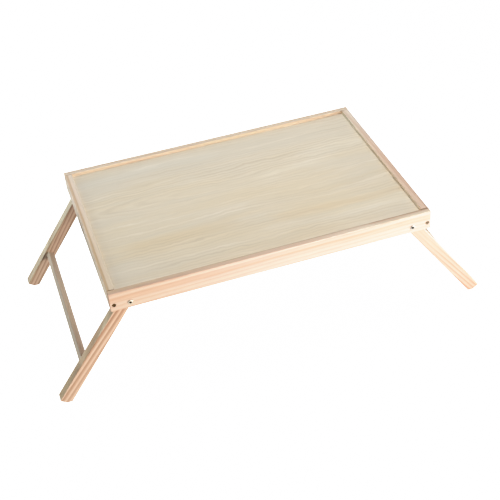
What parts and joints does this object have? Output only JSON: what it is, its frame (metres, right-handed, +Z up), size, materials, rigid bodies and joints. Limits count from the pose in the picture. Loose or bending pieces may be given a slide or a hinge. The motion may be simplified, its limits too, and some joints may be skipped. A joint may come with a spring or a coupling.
{
  "type": "folding laptop table",
  "caption": "Folding laptop or bed table: shallow pine tray with a sunk veneered panel, on splayed leg frames that pivot inside the long rails and fold flat underneath.",
  "frame": {"origin": "on the floor, under the middle of the tray, with the legs open", "axes": "+X along the tray's long side, +Y from front to back, +Z up"},
  "size_m": [0.8356, 0.4032, 0.2319],
  "materials": {
    "pine": "planed and sanded softwood, clear matt lacquer",
    "panel_veneer": "pale straight-grained veneer, satin",
    "zinc_steel": "bright zinc plate",
    "black_screw": "black phosphate",
    "nylon_spacer": "natural nylon",
    "beech_dowel": "fluteless hardwood dowel, glued"
  },
  "bodies": {
    "tray": {"front_rail": "pine", "rear_rail": "pine", "left_end_rail": "pine", "right_end_rail": "pine", "top_panel": "panel_veneer", "corner_screws": "black_screw", "left_pivot_bolts": "zinc_steel", "right_pivot_bolts": "zinc_steel", "left_spacer_washers": "nylon_spacer", "right_spacer_washers": "nylon_spacer", "left_nut_washers": "zinc_steel", "right_nut_washers": "zinc_steel", "left_lock_nuts": "zinc_steel", "right_lock_nuts": "zinc_steel"},
    "left_leg_frame": {"front_left_leg": "pine", "rear_left_leg": "pine", "left_stretcher": "pine", "left_stretcher_dowels": "beech_dowel"},
    "right_leg_frame": {"front_right_leg": "pine", "rear_right_leg": "pine", "right_stretcher": "pine", "right_stretcher_dowels": "beech_dowel"}
  },
  "joints": [
    {"name": "left_legs_fold", "type": "hinge", "parent": "tray", "child": "left_leg_frame", "pos_m": [-0.2643, 0, 0.20536], "axis": [0, -1, 0], "range_deg": [0, 125.5]},
    {"name": "right_legs_fold", "type": "hinge", "parent": "tray", "child": "right_leg_frame", "pos_m": [0.2643, 0, 0.20536], "axis": [0, 1, 0], "range_deg": [0, 125.5]}
  ]
}
